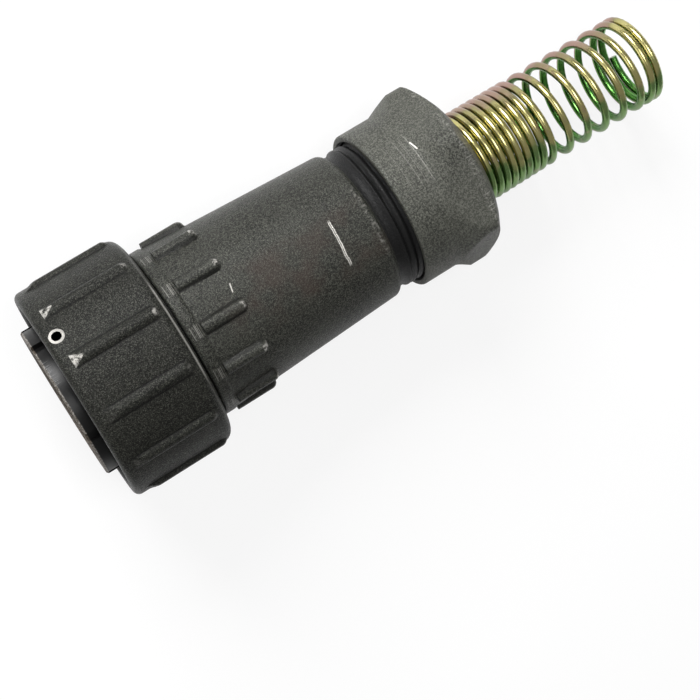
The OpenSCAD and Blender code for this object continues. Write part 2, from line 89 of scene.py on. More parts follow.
# %% Camera
camera = bpy.data.objects.new("camera", bpy.data.cameras.new("camera"))
bpy.context.collection.objects.link(camera)
camera.data.lens = 77.19
camera.data.sensor_width = 36
camera.data.clip_start = 0.01
right = Vector((0.83113, -0.44516, 0.33326))
up = Vector((0.521, 0.83285, -0.18685))
back = Vector((-0.19438, 0.32893, 0.92413))
camera.matrix_world = Matrix.Translation(Vector((-4.212, 67.456, 241.576)) * MM) @ Matrix(
    (right, up, back)).transposed().to_4x4()
bpy.context.scene.camera = camera
print("camera stands", round(camera.location.length * 1000), "mm from the mating face")

# %% [markdown]
# ## Turning a shape
# Nearly every piece is turned on a lathe or cast in a round die. So one helper spins a
# closed outline about the axis. The outline is a loop, hence the full turn is merged
# and the result is a closed solid. A second helper gives the outline its rounded
# corners, and a third one spaces points along a straight run, so that ribs have
# something to be drawn from.

# %% Spin an outline
def arc(x, radius, size, start, end, parts=6):
    """Points on a corner of the outline; 0 degrees points to the cable, 90 outwards."""
    turns = [math.radians(start + (end - start) * i / parts) for i in range(parts + 1)]
    return [(x + size * math.cos(t), radius + size * math.sin(t)) for t in turns]


def run(a, b, pitch):
    """Points from a up to b, not counting b, no further apart than the pitch."""
    parts = math.ceil(math.dist(a, b) / pitch)
    return [(a[0] + (b[0] - a[0]) * i / parts, a[1] + (b[1] - a[1]) * i / parts)
            for i in range(parts)]


def spin(outline, steps):
    """A closed outline of (x, radius) in millimetres, spun once round the axis."""
    shape = bmesh.new()
    corners = [shape.verts.new((x * MM, 0, radius * MM)) for x, radius in outline]
    edges = [shape.edges.new(pair) for pair in zip(corners, corners[1:] + corners[:1])]
    bmesh.ops.spin(shape, geom=corners + edges, axis=(1, 0, 0), cent=(0, 0, 0),
                   angle=math.tau, steps=steps, use_merge=True)
    bmesh.ops.remove_doubles(shape, verts=shape.verts, dist=1e-7)
    bmesh.ops.recalc_face_normals(shape, faces=shape.faces)
    return shape


print("a quarter round has", len(arc(0, 0, 1, 90, 0)), "points")

# %% [markdown]
# ## Handing a shape over
# A finished shape becomes an object at the origin, shaded smooth except where two
# faces meet at a real corner. It rides on a CAD body and stands in for its CAD node.

# %% Make a piece
SHARP = 40


def hand_over(name, shape, body, slot, *stands_for, corner=SHARP):
    """An object from a bmesh; edges that turn by more degrees than corner stay sharp."""
    mesh = bpy.data.meshes.new(name)
    shape.to_mesh(mesh)
    shape.free()
    mesh.shade_smooth()
    mesh.set_sharp_from_angle(angle=math.radians(corner))
    piece = bpy.data.objects.new(name, mesh)
    bpy.context.collection.objects.link(piece)
    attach(piece, body)
    if stands_for:
        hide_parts(*stands_for)
    print(name, "has", len(mesh.polygons), "faces")
    return piece


def carve(piece, cutter):
    """Cuts one bmesh out of a piece, for good."""
    mesh = bpy.data.meshes.new("cutter")
    cutter.to_mesh(mesh)
    cutter.free()
    tool = bpy.data.objects.new("cutter", mesh)
    bpy.context.collection.objects.link(tool)
    boolean = piece.modifiers.new("carve", "BOOLEAN")
    boolean.object = tool
    boolean.operation = "DIFFERENCE"
    boolean.solver = "EXACT"
    bpy.context.view_layer.update()
    built = piece.evaluated_get(bpy.context.evaluated_depsgraph_get())
    carved = bpy.data.meshes.new_from_object(built)
    piece.modifiers.clear()
    piece.data = carved
    bpy.data.objects.remove(tool)


# %% [markdown]
# ## Ribs that grow out of the skin
# The ribs on the ring and the beads on the backshell are cast with the piece and then
# coated, so there is no hard line at their feet. A boolean would leave that line. Here
# the skin itself is lifted instead: each point of the spun grid moves out to a
# half-round rib, and a soft maximum rounds the foot.

# %% Lift the skin to a half-round rib
def soft_max(a, b, reach):
    """The larger of two numbers, with a fillet where they cross."""
    near = max(reach - abs(a - b), 0) / reach
    return max(a, b) + near * near * reach / 4


def rib_radius(x, across, crest, half_round, end):
    """How far from the axis a rib with a ball end reaches at a point of the skin."""
    off = math.hypot(across, max(x - end, 0))
    return crest - half_round + math.sqrt(max(half_round ** 2 - off ** 2, 0)) \
        - 3 * max(off - half_round, 0)


def across_rib(radius, degrees, first, spacing):
    """Distance round the skin from the middle of the nearest rib."""
    nearest = first + spacing * round((degrees - first) / spacing)
    return radius * math.sin(math.radians(degrees - nearest))


print("the ring's rib stands", round(rib_radius(10, 0, 20, 1.3, 18) - 19.3, 2), "mm proud")

# %% [markdown]
# ## Coupling ring
# Its ribs start with a sloping flat, as the mould leaves it, and end in a ball. The
# rows of the grid are closest where the slopes are.

# %% Coupling ring
STEPS = 480
RING_R, MOUTH_R, BORE_R, RING_REAR = 19.3, 16.9, 13.66, 21.0
RIB_CREST, RIB_ROUND, RIB_START, RIB_RAMP, RIB_END = 20.0, 1.3, 4.1, 2.1, 18.2
RIB_SPACING, RIB_FOOT, RIB_LAST = 30, 0.3, 19.6
SKIN_FRONT, SKIN_REAR, LINING_R = 3.2, 19.1, 17.35
FINE_ROWS, COARSE_ROWS = 0.17, 0.7
ring_outline = (
    [(2.5, MOUTH_R), (2.12, MOUTH_R + 0.3), (2.0, MOUTH_R + 0.7)]
    + arc(SKIN_FRONT, 18.1, 1.2, 180, 90, 7)
    + run((3.35, RING_R), (6.8, RING_R), FINE_ROWS)
    + run((6.8, RING_R), (17.4, RING_R), COARSE_ROWS)
    + run((17.4, RING_R), (SKIN_REAR, RING_R), FINE_ROWS)
    + arc(SKIN_REAR, 17.4, 1.9, 90, 0, 10)
    + [(RING_REAR, 15.6), (20.7, 15.2), (19.65, 15.2), (19.65, BORE_R), (17.85, BORE_R),
       (17.85, MOUTH_R)]
    + run((17.0, MOUTH_R), (2.5, MOUTH_R), 2.5)
)
ring = spin(ring_outline, STEPS)
for point in ring.verts:
    x, radius = point.co.x / MM, math.hypot(point.co.y, point.co.z) / MM
    if radius < LINING_R:
        continue
    turn = angle_of(point.co)
    across = across_rib(RING_R, turn, 0, RIB_SPACING)
    crest = rib_radius(x, across, RIB_CREST, RIB_ROUND, RIB_END)
    ramp = RING_R + (x - RIB_START) * (RIB_CREST - RING_R) / RIB_RAMP
    skin = RING_R if SKIN_FRONT <= x <= SKIN_REAR else radius
    lifted = radius
    if SKIN_FRONT <= x <= RIB_LAST:
        lifted = soft_max(min(crest, ramp), skin, RIB_FOOT)
    lifted = max(lifted - max(skin - radius, 0), radius)
    point.co = spot(x, lifted, turn)
coupling_ring = hand_over("ring_skin", ring, "coupling_ring", "powder_coat", "coupling_ring")

# %% Holes for the three studs, with a small countersink
STUD_X, STUD_TURNS, HOLE_R, SINK_R = 4.2, (-45, 75, 195), 1.34, 1.95

for degrees in STUD_TURNS:
    drill = bmesh.new()
    bmesh.ops.create_cone(drill, cap_ends=True, segments=40, radius1=HOLE_R * MM,
                          radius2=HOLE_R * MM, depth=8 * MM)
    bmesh.ops.translate(drill, verts=drill.verts, vec=(0, 0, 18 * MM))
    made = bmesh.ops.create_cone(drill, cap_ends=True, segments=40, radius1=1.30 * MM,
                                 radius2=SINK_R * MM, depth=0.65 * MM)
    bmesh.ops.translate(drill, verts=made["verts"], vec=(0, 0, 19.37 * MM))
    bmesh.ops.rotate(drill, verts=drill.verts, cent=(0, 0, 0),
                     matrix=Matrix.Rotation(math.radians(degrees), 3, "X"))
    bmesh.ops.translate(drill, verts=drill.verts, vec=(STUD_X * MM, 0, 0))
    carve(coupling_ring, drill)
coupling_ring.data.set_sharp_from_angle(angle=math.radians(SHARP))
print("ring now has", len(coupling_ring.data.polygons), "faces")

# %% [markdown]
# ## Backshell
# A tapered casting. Its collar is turned after casting, which cuts the front ends of
# the grip beads off square. The neck carries the gland thread: a ridge that climbs
# 1.5 mm each turn. The thread is cut by moving the same grid inwards along a helix.

# %% Backshell
COLLAR_R, BS_FRONT, BEAD_X, NECK_X, NECK_R, NECK_END = 15.55, 21.5, 23.9, 58.3, 13.2, 68.5
BEAD_CREST, BEAD_ROUND, BEAD_START, BEAD_END, PITCH = 16.2, 1.15, 24.2, 31.05, 1.5
TAPER_FRONT, TAPER_REAR, ROUND = 15.3, 13.75, 1.3
FIRST_BEAD, BEAD_FOOT, BEADS_DONE, BEAD_LAST = 19, 0.28, 33.0, 33.4
THREAD_FROM, THREAD_TO, THREAD_DEPTH, THREAD_SLOPE, RUN_OUT = 60.25, 68.2, 0.43, 1.15, 0.5
taper_end = (NECK_X - ROUND, TAPER_REAR)
bead_zone = (BEADS_DONE, TAPER_FRONT + (TAPER_REAR - TAPER_FRONT)
             * (BEADS_DONE - BEAD_X) / (NECK_X - ROUND - BEAD_X))
shell_outline = (
    [(BS_FRONT, 14.6), (BS_FRONT, 15.15), (21.62, 15.43), (21.9, COLLAR_R)]
    + run((22.3, COLLAR_R), (23.5, COLLAR_R), 0.6)
    + [(23.5, COLLAR_R), (23.75, 15.45), (BEAD_X, TAPER_FRONT + 0.02),
       (24.17, TAPER_FRONT), (24.22, TAPER_FRONT)]
    + run((24.45, TAPER_FRONT), (30.6, bead_zone[1] + 0.11), 0.55)
    + run((30.6, bead_zone[1] + 0.11), bead_zone, FINE_ROWS)
    + run(bead_zone, taper_end, 2.5)
    + arc(NECK_X - ROUND, TAPER_REAR - ROUND, ROUND, 90, 12, 8)
    + [(NECK_X, 12.7), (59.7, 12.7), (60.2, 13.16)]
    + run((60.3, NECK_R), (68.1, NECK_R), 0.15)
    + [(68.1, NECK_R), (NECK_END, 12.8), (NECK_END, 11.0), (60.9, 11.0), (60.9, 7.0),
       (56.25, 7.0), (56.25, 11.55), (32.0, 12.3), (32.0, 13.06), (23.1, 13.06),
       (23.1, 14.58)]
)
backshell = spin(shell_outline, STEPS)
for point in backshell.verts:
    x, radius = point.co.x / MM, math.hypot(point.co.y, point.co.z) / MM
    turn = angle_of(point.co)
    if BEAD_START < x < BEAD_LAST and radius > 14:
        across = across_rib(radius, turn, FIRST_BEAD, RIB_SPACING)
        rib = rib_radius(x, across, BEAD_CREST, BEAD_ROUND, BEAD_END)
        point.co = spot(x, soft_max(rib, radius, BEAD_FOOT), turn)
    elif THREAD_FROM < x < THREAD_TO and radius > 13.1:
        phase = (x / PITCH + turn / 360) % 1
        groove = max(THREAD_DEPTH - abs(phase - 0.5) * THREAD_SLOPE, 0)
        fade = min((x - THREAD_FROM) / RUN_OUT, (THREAD_TO - x) / RUN_OUT, 1)
        point.co = spot(x, radius - groove * max(fade, 0), turn)
backshell = hand_over("backshell_skin", backshell, "shell_assembly", "powder_coat",
                      "backshell", corner=50)

# %% [markdown]
# ## Gland nut
# A turned blank whose hexagon is milled: the round flare runs out into the corners,
# and each flat meets it in an arch. The nearer of the two surfaces wins at each point,
# with a soft minimum where they cross, because the coating rounds every edge.

# %% Gland nut
NUT_X, HEX_X, NUT_END, NUT_R, CORNER_R, FLAT_R = 62.6, 69.3, 78.39, 14.7, 16.9, 15.0
FLAT_SPACING, SOFT_EDGE, HEX_LEAST_R = 60, 0.35, 14.2
flare = [(HEX_X + 3.7 * t / 16, NUT_R + 2.2 * (t / 16) ** 1.35) for t in range(17)]
nut_outline = (
    [(63.0, 13.26), (NUT_X, 13.7)] + arc(63.0, 14.3, 0.4, 180, 90, 5)
    + run((63.6, NUT_R), (HEX_X, NUT_R), 1.2)
    + flare
    + run((73.2, CORNER_R), (75.9, CORNER_R), 0.25)
    + arc(75.75, CORNER_R - 0.5, 0.5, 90, 32, 5)
    + run((76.35, 16.5), (78.2, 13.5), 0.22)
    + arc(78.0, 13.0, 0.38, 32, 0, 3)
    + [(NUT_END, 12.6), (NUT_END, 9.6), (78.0, 9.15), (75.79, 9.15), (75.79, 11.3),
       (72.4, 11.3), (72.4, 13.26)]
)
nut = spin(nut_outline, STEPS)
for point in nut.verts:
    x, radius = point.co.x / MM, math.hypot(point.co.y, point.co.z) / MM
    if radius < HEX_LEAST_R or x < HEX_X:
        continue
    turn = angle_of(point.co)
    off_flat = turn - FLAT_SPACING * round(turn / FLAT_SPACING)
    flat = FLAT_R / math.cos(math.radians(off_flat))
    point.co = spot(x, -soft_max(-radius, -flat, SOFT_EDGE), turn)
gland_nut = hand_over("gland_nut_skin", nut, "gland_nut", "powder_coat", "gland_nut")

# %% [markdown]
# ## Bend-relief spring
# One wire, wound in four stretches: wide turns that the nut holds, close turns, open
# turns that bend with the cable, and two close turns that end it. The wire is a curve
# with a round section, because a swept circle stays round where the pitch changes.

# %% The path of the wire
WIRE_X, WIRE_D, CLOSE_PITCH, OPEN_PITCH = 73.1, 1.4, 1.55, 3.9
WIDE_TURNS, OPEN_FROM, OPEN_TO, ALL_TURNS = 1.25, 13.0, 18.5, 20.5
WIDE_R, BODY_R, TAPER = 10.9, 8.75, 0.3


def ramp_area(turns, start):
    """How many turns past a pitch change, counting the change itself as half a turn."""
    past = min(max(turns - start, 0), 1)
    return past * past / 2 + max(turns - start - 1, 0)


def wire_point(turns):
    """Where the middle of the wire is after so many turns."""
    x = WIRE_X + CLOSE_PITCH * turns + (OPEN_PITCH - CLOSE_PITCH) * (
        ramp_area(turns, OPEN_FROM - 0.5) - ramp_area(turns, OPEN_TO - 0.5))
    narrow = min(max((turns - WIDE_TURNS + 0.4) / 0.8, 0), 1)
    far = max(0, (turns - WIDE_TURNS) / (ALL_TURNS - WIDE_TURNS))
    body = BODY_R - TAPER * far
    radius = WIDE_R + (body - WIDE_R) * narrow ** 2 * (3 - 2 * narrow) - WIRE_D / 2
    return spot(x, radius, 360 * turns)


POINTS_PER_TURN = 40
wire_path = [wire_point(i / POINTS_PER_TURN)
             for i in range(int(ALL_TURNS * POINTS_PER_TURN) + 1)]
wire_length = sum((b - a).length for a, b in zip(wire_path, wire_path[1:]))
print("the wire is", round(wire_length * 1000), "mm long")

# %% The wire
curve = bpy.data.curves.new("wire", "CURVE")
curve.dimensions = "3D"
curve.bevel_depth = WIRE_D / 2 * MM
curve.bevel_resolution = 5
curve.use_fill_caps = True
line = curve.splines.new("POLY")
line.points.add(len(wire_path) - 1)
for point, place in zip(line.points, wire_path):
    point.co = (*place, 1)
wire_object = bpy.data.objects.new("wire", curve)
bpy.context.collection.objects.link(wire_object)
bpy.context.view_layer.update()
wire = bmesh.new()
wire.from_mesh(bpy.data.meshes.new_from_object(wire_object))
bmesh.ops.remove_doubles(wire, verts=wire.verts, dist=1e-6)
bmesh.ops.recalc_face_normals(wire, faces=wire.faces)
bpy.data.objects.remove(wire_object)
bend_spring = hand_over("spring_wire", wire, "gland_carrier", "zinc_yellow", "bend_spring")

# %% [markdown]
# ## Numbers on the insert
# The front insulator numbers its six contacts. The digits stand upright when the main
# keyway is on top. They are sunk into the moulding, so text is made solid, laid on the
# face and cut out of a copy of the CAD piece, whose loose triangles are merged first.

# %% Front insulator with sunk digits
KEYWAY, FACE_X, SUNK, DIGIT_SIZE = 159, 11.4, 0.22, 2.75
DIGITS = {"1": (17, 10.3), "2": (75, 9.8), "3": (128, 8.9),
          "4": (287.5, 8.4), "5": (-13, 10.3), "6": (63, 4.9)}
insert = bmesh.new()
insert.from_mesh(nodes["front_insulator"].data)
bmesh.ops.remove_doubles(insert, verts=insert.verts, dist=1e-6)
front_insulator = hand_over("insert_face", insert, "shell_assembly", "insulator_blue",
                            "front_insulator")
stamp = bmesh.new()
for digit, (degrees, radius) in DIGITS.items():
    text = bpy.data.curves.new("digit", "FONT")
    text.body = digit
    text.size = DIGIT_SIZE * MM
    text.extrude = SUNK * MM
    text.align_x = text.align_y = "CENTER"
    text_object = bpy.data.objects.new("digit", text)
    bpy.context.collection.objects.link(text_object)
    bpy.context.view_layer.update()
    glyph = bpy.data.meshes.new_from_object(text_object)
    glyph.transform(Matrix.Translation(spot(FACE_X, radius, KEYWAY + degrees)) @ Matrix(
        (outward(KEYWAY + 90), outward(KEYWAY), (-1, 0, 0))).transposed().to_4x4())
    stamp.from_mesh(glyph)
    bpy.data.objects.remove(text_object)
bmesh.ops.remove_doubles(stamp, verts=stamp.verts, dist=1e-7)
bmesh.ops.recalc_face_normals(stamp, faces=stamp.faces)
carve(front_insulator, stamp)
print("insert face now has", len(front_insulator.data.polygons), "faces")

# %% [markdown]
# ## Writing finishes as sums
# A finish is a small calculation made at every point of a surface. Nodes say that
# clumsily, so a socket is wrapped in a class that understands + - * /, and each sum
# adds its Math node. Every other kind of node comes from one method.

# %% A socket that can be calculated with
class Signal:
    """One output socket of a finish, which sums and products understand."""

    def __init__(self, finish, socket):
        self.finish, self.socket = finish, socket

    def out(self, name):
        """Another output of the same node."""
        return Signal(self.finish, self.socket.node.outputs[name])

    def sum(self, operation, *others):
        """Any Math node, told by its operation."""
        return self.finish.node("ShaderNodeMath", {"operation": operation},
                                dict(enumerate((self, *others))))

    def __add__(self, other): return self.sum("ADD", other)
    __radd__ = __add__
    def __mul__(self, other): return self.sum("MULTIPLY", other)
    __rmul__ = __mul__
    def __sub__(self, other): return self.sum("SUBTRACT", other)
    def __rsub__(self, other): return (self * -1) + other
    def __truediv__(self, other): return self.sum("DIVIDE", other)
    def __abs__(self): return self.sum("ABSOLUTE")

    def rise(self, low, high):
        """0 below low, 1 above high and a smooth step between; low may be the larger."""
        return self.finish.node("ShaderNodeMapRange", {"interpolation_type": "SMOOTHSTEP"},
                                {0: self, 1: low, 2: high, 3: 0.0, 4: 1.0})

    def band(self, low, high, soft):
        """1 between low and high, fading out over a soft edge on both sides."""
        return self.rise(low - soft, low) * self.rise(high + soft, high)


class Finish:
    """A material with one shader, and the nodes that feed it."""

    def __init__(self, name, **constants):
        self.material = bpy.data.materials.new(name)
        self.material.use_nodes = True
        self.tree = self.material.node_tree
        self.tree.nodes.clear()
        self.shader = self.tree.nodes.new("ShaderNodeBsdfPrincipled")
        for key, value in constants.items():
            self.shader.inputs[key.replace("_", " ")].default_value = value
        result = self.tree.nodes.new("ShaderNodeOutputMaterial")
        self.tree.links.new(self.shader.outputs[0], result.inputs[0])

    def put(self, socket, value):
        """Links a signal to a socket, or sets the socket to a plain value."""
        if isinstance(value, Signal):
            self.tree.links.new(value.socket, socket)
        else:
            socket.default_value = value

    def node(self, kind, settings, sockets, output=0):
        """Any node: its settings first, then the values or links of its sockets."""
        made = self.tree.nodes.new(kind)
        for key, value in settings.items():
            setattr(made, key, value)
        for key, value in sockets.items():
            self.put(made.inputs[key], value)
        return Signal(self, made.outputs[output])

    def paint(self, **channels):
        """Links what changes over the surface to the shader."""
        for key, value in channels.items():
            self.put(self.shader.inputs[key.replace("_", " ")], value)

    def mix(self, amount, a, b):
        """Colour a where amount is 0, colour b where it is 1."""
        return self.node("ShaderNodeMix", {"data_type": "RGBA"}, {0: amount, 6: a, 7: b}, output=2)

    def where(self):
        """Point, distance behind the face (mm), angle (degrees) and radius (mm)."""
        point = self.node("ShaderNodeTexCoord", {}, {}, output=3)
        split = self.node("ShaderNodeSeparateXYZ", {}, {0: point})
        x, y, z = split, split.out("Y"), split.out("Z")
        turn = (y * -1).sum("ARCTAN2", z) * (180 / math.pi)
        return point, x * 1000, turn, (y * y + z * z).sum("SQRT") * 1000

    def grain(self, vector, size, detail=2.0, rough=0.5):
        """Noise from 0 to 1 whose lumps are about that many millimetres wide."""
        return self.node("ShaderNodeTexNoise", {}, {"Vector": vector, "Scale": 1000 / size,
                                                    "Detail": detail, "Roughness": rough})

    def lines(self, along, size, detail=3.0):
        """Noise that changes along one number only, such as turned or drawn lines."""
        return self.node("ShaderNodeTexNoise", {"noise_dimensions": "1D"},
                         {"W": along, "Scale": 1 / size, "Detail": detail})

    def bump(self, height, depth, strength=1.0):
        """A normal that rises and falls by the depth, in millimetres."""
        return self.node("ShaderNodeBump", {}, {"Height": height, "Strength": strength,
                                                "Distance": depth * MM})


def grey(level, warm=0.0):
    """A dark neutral colour; warm lifts the red and lowers the blue."""
    return (level * (1 + warm), level, level * (1 - warm), 1)


def strongest(first, *others):
    """The largest of several amounts at each point."""
    for other in others:
        first = first.sum("MAXIMUM", other)
    return first


def off_rib(turn, first, radius):
    """Distance round the skin from the middle of the nearest rib, in millimetres."""
    place = (turn - first) / RIB_SPACING
    return abs((place - place.sum("ROUND")) * math.radians(RIB_SPACING) * radius)


def dress(piece, finish):
    """Gives a piece one finish in place of whatever it had."""
    piece.data.materials.clear()
    piece.data.materials.append(finish.material)


print("finishes can now be written as sums")

# %% [markdown]
# ## Powder coat
# The ring, the backshell and the nut wear the same grey coat: a fine wrinkle with
# flakes that glint. Three things tell it from plain paint: the bump, the glints, and
# the places where handling has rubbed it. The glints and the tops of the lumps are
# painted highlights, lighter in the colour, and on the lit side much of the rubbing is
# painted highlight too. One function makes the coat, and each piece adds its own marks.

# %% The coat
def tone(level):
    """The coat's own grey, a little short of blue."""
    return (level, level * 1.02, level * 0.86, 1)


def powder_coat(name, level, gloss):
    """The coat, its coordinates, its colour with painted glints, the glint mask and the height
    before any wear.
    """
    coat = Finish(name, Specular_IOR_Level=gloss)
    point, x, turn, radius = coat.where()
    lumps = coat.grain(point, 0.36, 3.0, 0.65)
    flakes = coat.grain(point, 0.17, 1.0)
    clouds = coat.grain(point, 9.0, 2.0)
    glint = flakes.rise(0.52, 0.68)
    colour = coat.mix(clouds.rise(0.35, 0.65), tone(level * 0.7), tone(level * 1.25))
    # Painted highlights: the tops of the lumps and the flakes are lighter in the colour; the flakes'
    # metallic and roughness values are the coat's own.
    colour = coat.mix(lumps.rise(0.46, 0.6), colour, tone(level * 2.8))
    colour = coat.mix(glint * 0.7, colour, tone(level * 3.0 + 0.06))
    height = lumps * 0.75 + flakes * 0.25
    return coat, (point, x, turn, radius), colour, glint, height


# Bare metal; it is also the colour of the painted highlights on the lit side.
BARE_METAL_AND_HIGHLIGHT = (0.62, 0.60, 0.56, 1)
# Painted shade for the creases at the feet of the ribs and beads.
CREVICE_SHADE = grey(0.004)


def wear(coat, colour, amount):
    """Bare metal colour where amount is 1: worn coat, and on the lit side also painted highlights.
    """
    return coat.mix(amount, colour, BARE_METAL_AND_HIGHLIGHT)


# %% Coupling ring's coat, rubbed on the rib slopes and the rear edge, with painted highlights there on the lit side, and painted shade at the rib feet and inside
coat, (point, x, turn, radius), colour, glint, height = powder_coat("ring_coat", 0.006, 0.1)
rib = off_rib(turn, 0, RING_R)
slope = (rib + (x - RIB_START) * 0.52).rise(1.22, 1.08) * x.band(4.15, 6.1, 0.1)
# The band of angles that faces the key light.
lit_side = turn.band(-78, -12, 8)
scuffs = coat.grain(point, 0.7, 3.0, 0.7)
# Rib slopes: faint real rubbing all round, and a painted highlight on the lit side.
facet = slope * (lit_side * 0.6 + 0.04) * scuffs.rise(0.36, 0.62)
# Rib ends: faint real rubbing all round, and a painted highlight on the lit side.
rib_tail = (rib.rise(0.8, 0.2) * x.band(18.6, 19.1, 0.3) * scuffs.rise(0.4, 0.6)
            * (lit_side * 0.35 + 0.08))
# Painted highlight: a thin light line on the rounding of the rear edge, strongest on the lit side.
painted_edge_highlight = (x.band(20.42, 20.5, 0.22) * radius.rise(17.9, 18.3)
            * (turn.band(-38, 4, 10) * 0.3 + 0.06))
# Painted shade: a dark line in the crease at the foot of each rib.
foot = rib.band(1.1, 1.35, 0.22) * x.band(4.6, 18.6, 0.6) * (radius - 19.2).rise(0.35, 0.1)
# Painted shade: the inside of the ring's mouth is made plain dark.
inside_shade = radius.rise(17.2, 16.95) * x.rise(2.2, 2.8)
# Real rubbing and painted highlights, both shown as bright bare metal.
wear_and_highlight = strongest(facet, rib_tail, painted_edge_highlight)
colour = wear(coat, colour, wear_and_highlight)
colour = coat.mix(foot * 0.7, colour, CREVICE_SHADE)
colour = coat.mix(inside_shade, colour, grey(0.005))
coat.paint(Base_Color=colour, Roughness=0.42 - glint * 0.14 - wear_and_highlight * 0.1,
           Metallic=wear_and_highlight * 0.6 + glint * 0.25, Normal=coat.bump(height, 0.16))
dress(coupling_ring, coat)

# %% Backshell's coat, with a scratch and turned lines where the beads were cut, painted highlights on the lit side, and painted shade at the bead feet and on the neck
coat, (point, x, turn, radius), colour, glint, height = powder_coat(
    "backshell_coat", 0.013, 0.15)
# Painted sheen: a lighter brownish patch on the band of the taper that faces the light.
brown_sheen = turn.band(-24, 4, 14) * x.band(32, 57, 5) * coat.grain(point, 6.0).rise(0.35, 0.65)
colour = coat.mix(brown_sheen * 0.4, colour, (0.042, 0.026, 0.021, 1))
wander = coat.lines(turn, 9.0) * 0.5
line = abs(x - 50.25 - wander + turn * 0.012)
scratch = (line.rise(0.3, 0.12) - line.rise(0.09, 0.03) * 0.8) * turn.band(-26, 3, 3)
nick = abs(x - 31.5 + (turn + 23) * 0.06).rise(0.16, 0.05) * turn.band(-25.5, -20.5, 0.7)
bead = off_rib(turn, FIRST_BEAD, 15.5)
turned = bead.rise(1.25, 1.0) * x.band(22.0, 23.9, 0.1) * coat.lines(x, 0.16, 1.0).rise(0.5, 0.62)
scuffs = coat.grain(point, 0.7, 3.0, 0.7)
bead_tip = bead.rise(0.8, 0.2) * x.band(31.2, 32.0, 0.25) * scuffs.rise(0.42, 0.6) * 0.6
# Painted highlight: a light line on the shoulder's rounding, on the lit side only, broken by scuffs.
shoulder_highlight = x.band(57.0, 57.5, 0.4) * turn.band(-34, 6, 12) * scuffs.rise(0.45, 0.7) * 0.22
# Painted shade: a dark line in the crease at the foot of each bead.
foot = bead.band(1.0, 1.3, 0.2) * x.band(24.3, 31.6, 0.3)
wear_and_highlight = strongest(scratch, nick * 0.6, turned * 0.22, bead_tip, shoulder_highlight)
# Painted shade: the neck, in the gap before the nut, is made plain dark.
neck = x.rise(58.2, 58.5)
colour = coat.mix(foot * 0.6, wear(coat, colour, wear_and_highlight), CREVICE_SHADE)
colour = coat.mix(neck, colour, grey(0.006))
scored = line.rise(0.12, 0.03) * turn.band(-26, 3, 3)
coat.paint(Base_Color=colour, Roughness=0.42 - glint * 0.14 - wear_and_highlight * 0.1,
           Metallic=wear_and_highlight * 0.6 + glint * 0.25, Normal=coat.bump(height - scored * 0.6, 0.14))
dress(backshell, coat)

# %% Gland nut's coat, finer and a little lighter, with nicks on the rear corners and painted shade in its rear bore
coat, (point, x, turn, radius), colour, glint, height = powder_coat("nut_coat", 0.029, 0.22)
turned = coat.lines(x, 0.3, 2.0).rise(0.55, 0.7) * turn.band(-48, -18, 6) * x.band(65.5, 69.5, 0.8)
scratch = abs(x - 69.8 - (turn + 41) * 0.05).rise(0.16, 0.05) * turn.band(-44.5, -38, 0.5)
scuffs = coat.grain(point, 0.5, 3.0, 0.7)
nicks = coat.lines(turn, 1.3, 2.0).rise(0.62, 0.7) * x.band(75.8, 77.2, 0.4) * turn.band(-30, 26, 6)
rim = radius.rise(14.9, 15.2) * x.band(75.9, 76.5, 0.3) * scuffs.rise(0.5, 0.64) * 0.5
wear_and_highlight = strongest(scratch * 0.7, nicks * 0.25, turned * 0.14, rim * 0.4)
# Painted shade: the nut's rear bore is made plain dark.
bore_shade = radius.rise(14.2, 13.3) * x.rise(77.0, 74.0)
colour = coat.mix(bore_shade, wear(coat, colour, wear_and_highlight), grey(0.006))
coat.paint(Base_Color=colour, Roughness=0.5 - glint * 0.12 - wear_and_highlight * 0.12,
           Metallic=wear_and_highlight * 0.7 + glint * 0.2, Normal=coat.bump(height, 0.1))
dress(gland_nut, coat)
print("powder coats:", coupling_ring.data.materials[0].name, backshell.data.materials[0].name,
      gland_nut.data.materials[0].name)

# %% [markdown]
# ## Yellow zinc on the spring
# Passivated zinc shows colours like a thin film of oil: green, yellow and pink, in
# patches along the wire. The colour here is painted by which way the wire's skin faces
# round the coil: a yellow sheen on the side toward the light, and pink, olive and green
# on the other sides and inside. Broad patches of noise stand for the zinc's own patches.

# %% Spring finish
zinc = Finish("yellow_zinc", Metallic=1.0)
point, x, turn, radius = zinc.where()
patches = zinc.grain(point, 5.0, 2.0) - 0.5
drift = turn + patches * 90
olive, yellow = (0.20, 0.22, 0.075, 1), (0.47, 0.43, 0.18, 1)
green, pink = (0.16, 0.27, 0.095, 1), (0.36, 0.24, 0.20, 1)
# Painted sheen by side: the colours follow the angle round the coil, yellow where the light falls.
film = zinc.mix(drift.rise(-95, -40), pink, olive)
film = zinc.mix(drift.band(-45, 15, 22), film, yellow)
film = zinc.mix(drift.band(30, 85, 25), film, green)
film = zinc.mix(drift.rise(95, 120) * drift.rise(175, 150), film, pink)
inner = (radius - 8.4 + x.rise(76, 118) * 0.3).rise(-0.25, -0.45)
film = zinc.mix(inner, film, (0.10, 0.27, 0.06, 1))
film = zinc.mix(zinc.grain(point, 1.6, 3.0).rise(0.55, 0.75) * 0.5, film, pink)
drawn = zinc.grain(point, 0.25, 2.0)
zinc.paint(Base_Color=film, Roughness=drawn * 0.1 + 0.2, Normal=zinc.bump(drawn, 0.012, 0.6))
dress(bend_spring, zinc)
print("spring finish:", zinc.material.name)

# %% [markdown]
# ## Finishes for the CAD pieces
# The other pieces keep their CAD shape. Each slot gets its real finish: black anodising
# on the turned shell, gold on the pins, a matt blue moulding, rubber, steel and bronze.

